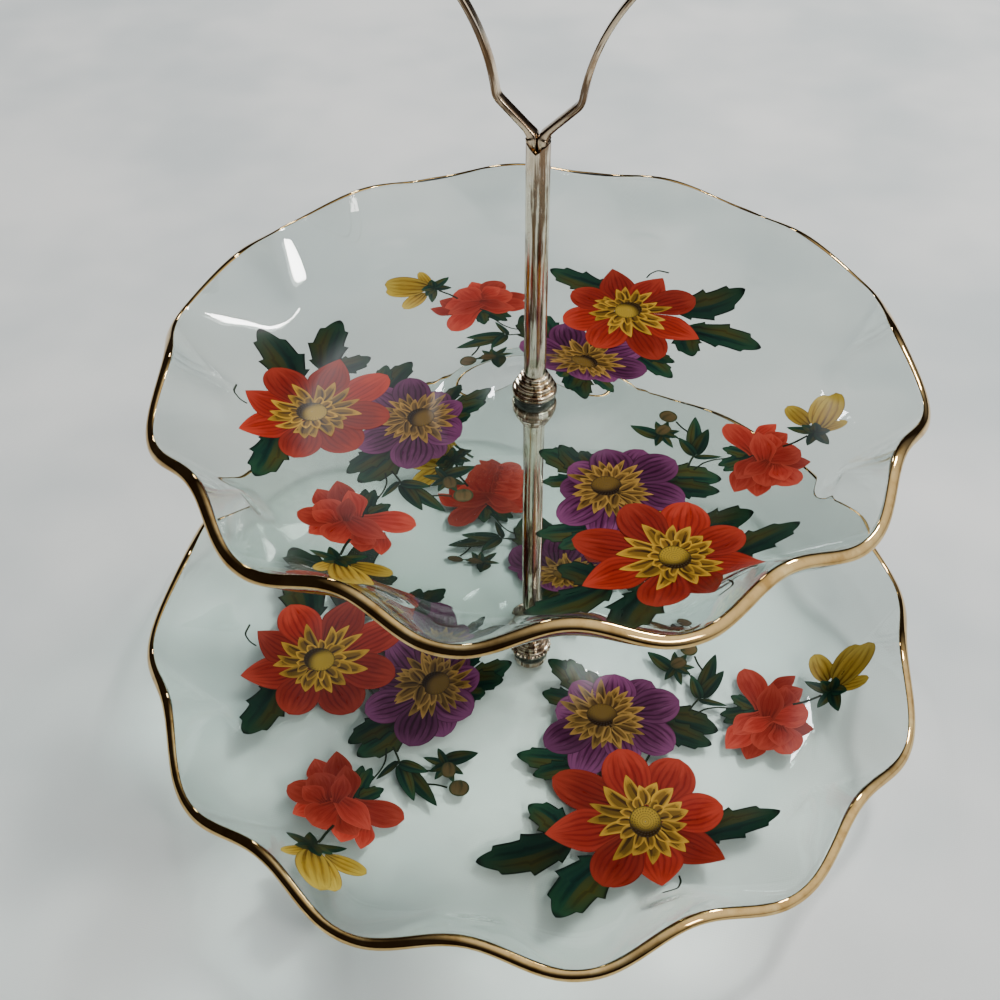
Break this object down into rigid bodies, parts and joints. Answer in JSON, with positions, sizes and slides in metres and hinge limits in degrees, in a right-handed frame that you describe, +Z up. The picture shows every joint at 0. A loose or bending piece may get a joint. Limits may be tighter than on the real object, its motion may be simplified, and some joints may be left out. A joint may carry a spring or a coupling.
{
  "type": "tiered cake stand",
  "caption": "Tiered cake stand: fluted gilt-rimmed glass plates with printed flowers on a slender plated stem with stepped collars and a loop handle.",
  "frame": {"origin": "on the stem's axis, in the plane that the lower plate stands on", "axes": "+Z up along the stem; +X in the plane of the handle loop"},
  "size_m": [0.2444, 0.2444, 0.275],
  "materials": {
    "glass": "clear polished glass",
    "plated_metal": "polished silver-coloured plate, slightly warm",
    "brass": "plain turned brass, hidden",
    "soft_washer": "dark soft rubber",
    "gilt": "bright gold line fired on the rim",
    "enamel": "printed flower enamel fired on the glass"
  },
  "bodies": {
    "lower_plate": {"lower_plate": "glass"},
    "stem": {"base_screw": "plated_metal", "base_washer": "soft_washer", "lower_washer": "soft_washer", "lower_collar": "plated_metal", "lower_tube": "plated_metal", "lower_tube_bush": "brass", "middle_bush": "brass", "joiner_stud": "brass", "under_collar": "plated_metal", "under_washer": "soft_washer"},
    "upper_plate": {"upper_plate": "glass"},
    "upper_washer": {"upper_washer": "soft_washer"},
    "upper_collar": {"upper_collar": "plated_metal"},
    "handle": {"upper_tube": "plated_metal", "upper_tube_bush": "brass", "fork_bush": "brass", "handle_loop": "plated_metal"}
  },
  "joints": [
    {"name": "stem_turn", "type": "hinge", "parent": "lower_plate", "child": "stem", "pos_m": [0, 0, 0.0061], "axis": [0, 0, 1], "continuous": true},
    {"name": "upper_plate_turn", "type": "hinge", "parent": "stem", "child": "upper_plate", "pos_m": [0, 0, 0.1146], "axis": [0, 0, 1], "continuous": true},
    {"name": "handle_lift", "type": "slide", "parent": "stem", "child": "upper_washer", "axis": [0, 0, 1], "range_m": [0, 0.05]},
    {"name": "handle_rise", "type": "slide", "parent": "upper_washer", "child": "upper_collar", "axis": [0, 0, 1], "range_m": [0, 0.0056]},
    {"name": "handle_unscrew", "type": "hinge", "parent": "upper_collar", "child": "handle", "pos_m": [0, 0, 0.1181], "axis": [0, 0, 1], "range_deg": [0, 2881]}
  ],
  "couplings": [
    {"joint": "handle_unscrew", "follows": "handle_rise", "rad_per_m": 8976}
  ]
}
